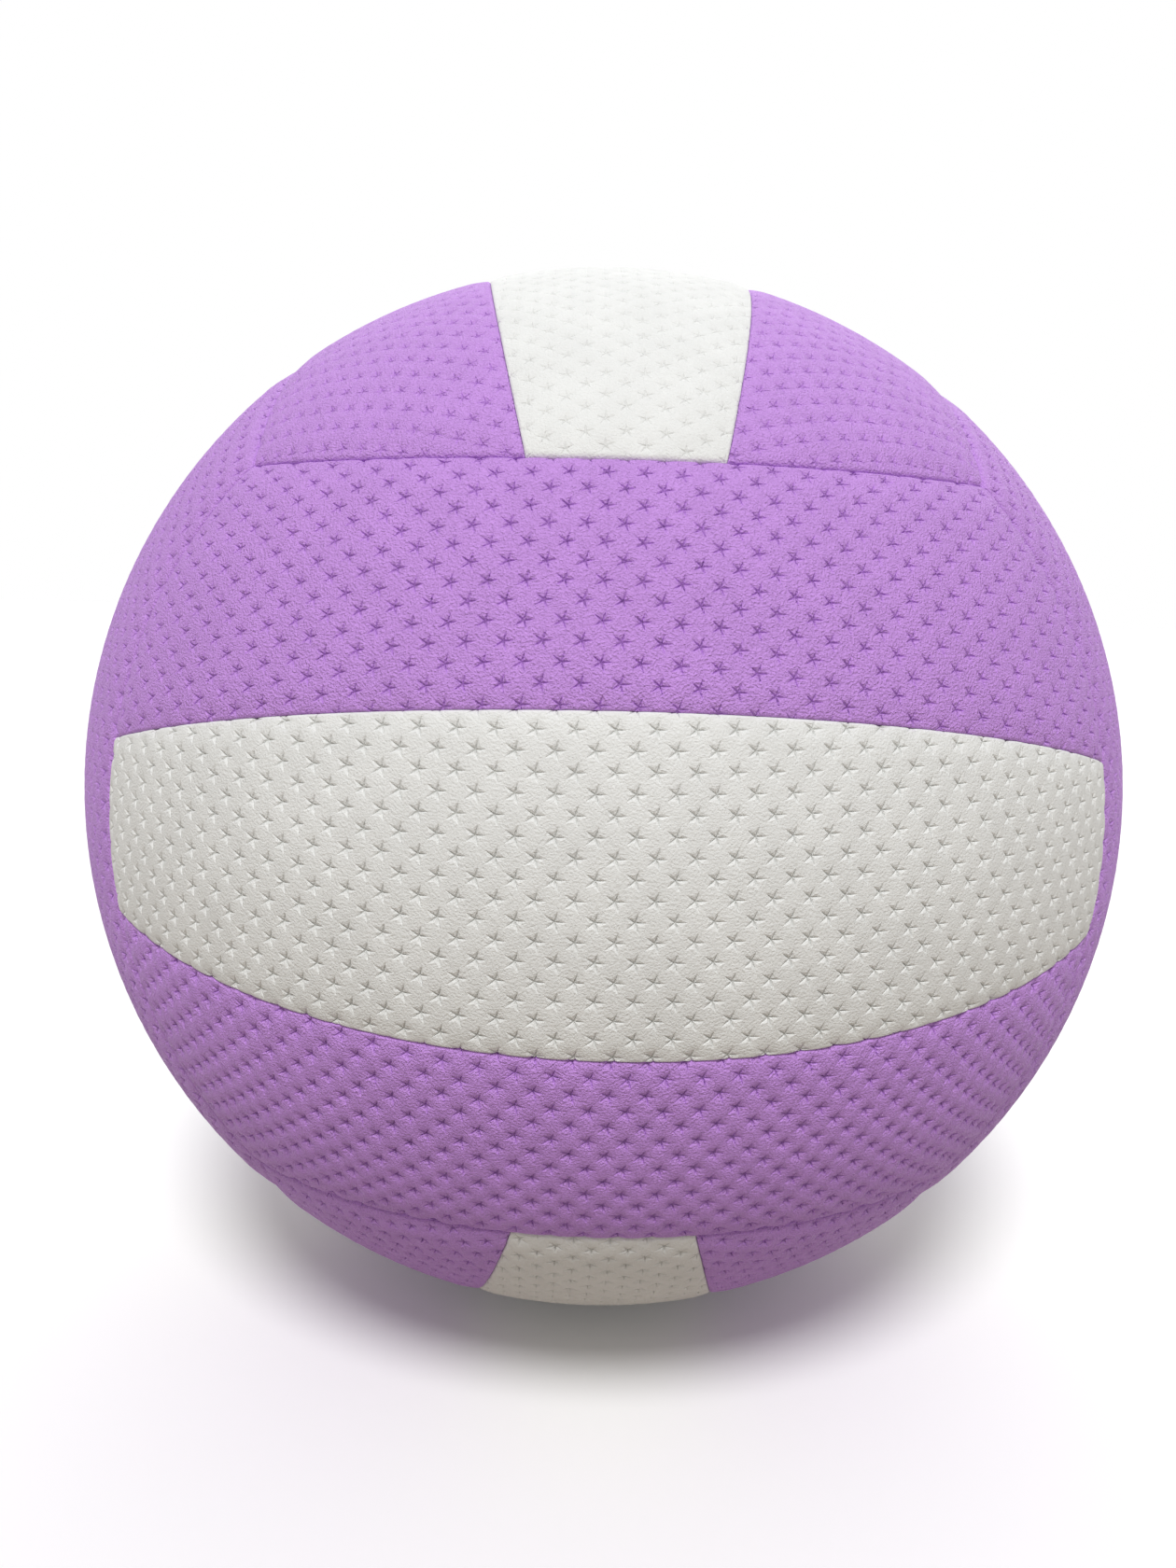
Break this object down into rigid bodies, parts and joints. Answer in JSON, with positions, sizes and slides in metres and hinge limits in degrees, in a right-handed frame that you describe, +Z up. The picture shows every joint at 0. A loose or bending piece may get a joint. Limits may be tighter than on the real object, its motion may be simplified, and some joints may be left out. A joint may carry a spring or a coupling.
{
  "type": "volleyball",
  "caption": "Indoor volleyball of sewn, embossed leather-look panels over foam, cloth lining and an air bladder with a needle valve.",
  "frame": {"origin": "centre of the ball", "axes": "+Z up; the face in the picture looks along -Y with its strips along X; the valve is on +Y"},
  "size_m": [0.21, 0.2099, 0.21],
  "materials": {
    "purple_leather": "embossed, satin",
    "white_leather": "embossed, satin",
    "foam": "matte closed-cell foam",
    "lining_cloth": "woven cloth",
    "thread": "waxed polyester thread",
    "bladder_rubber": "matte rubber",
    "valve_rubber": "moulded rubber",
    "insert_rubber": "soft moulded rubber"
  },
  "bodies": {
    "root": {"front_lower_cover": "purple_leather", "front_middle_cover": "white_leather", "front_upper_cover": "purple_leather", "back_lower_cover": "purple_leather", "back_middle_cover": "white_leather", "back_upper_cover": "purple_leather", "top_right_cover": "purple_leather", "top_middle_cover": "white_leather", "top_left_cover": "purple_leather", "bottom_left_cover": "purple_leather", "bottom_middle_cover": "white_leather", "bottom_right_cover": "purple_leather", "right_back_cover": "purple_leather", "right_middle_cover": "white_leather", "right_front_cover": "purple_leather", "left_front_cover": "purple_leather", "left_middle_cover": "white_leather", "left_back_cover": "purple_leather", "front_lower_foam": "foam", "front_middle_foam": "foam", "front_upper_foam": "foam", "back_lower_foam": "foam", "back_middle_foam": "foam", "back_upper_foam": "foam", "top_right_foam": "foam", "top_middle_foam": "foam", "top_left_foam": "foam", "bottom_left_foam": "foam", "bottom_middle_foam": "foam", "bottom_right_foam": "foam", "right_back_foam": "foam", "right_middle_foam": "foam", "right_front_foam": "foam", "left_front_foam": "foam", "left_middle_foam": "foam", "left_back_foam": "foam", "front_lower_lining": "lining_cloth", "front_middle_lining": "lining_cloth", "front_upper_lining": "lining_cloth", "back_lower_lining": "lining_cloth", "back_middle_lining": "lining_cloth", "back_upper_lining": "lining_cloth", "top_right_lining": "lining_cloth", "top_middle_lining": "lining_cloth", "top_left_lining": "lining_cloth", "bottom_left_lining": "lining_cloth", "bottom_middle_lining": "lining_cloth", "bottom_right_lining": "lining_cloth", "right_back_lining": "lining_cloth", "right_middle_lining": "lining_cloth", "right_front_lining": "lining_cloth", "left_front_lining": "lining_cloth", "left_middle_lining": "lining_cloth", "left_back_lining": "lining_cloth", "seam_threads": "thread", "bladder": "bladder_rubber", "valve_body": "valve_rubber", "valve_insert": "insert_rubber", "valve_patch": "lining_cloth"}
  },
  "joints": []
}
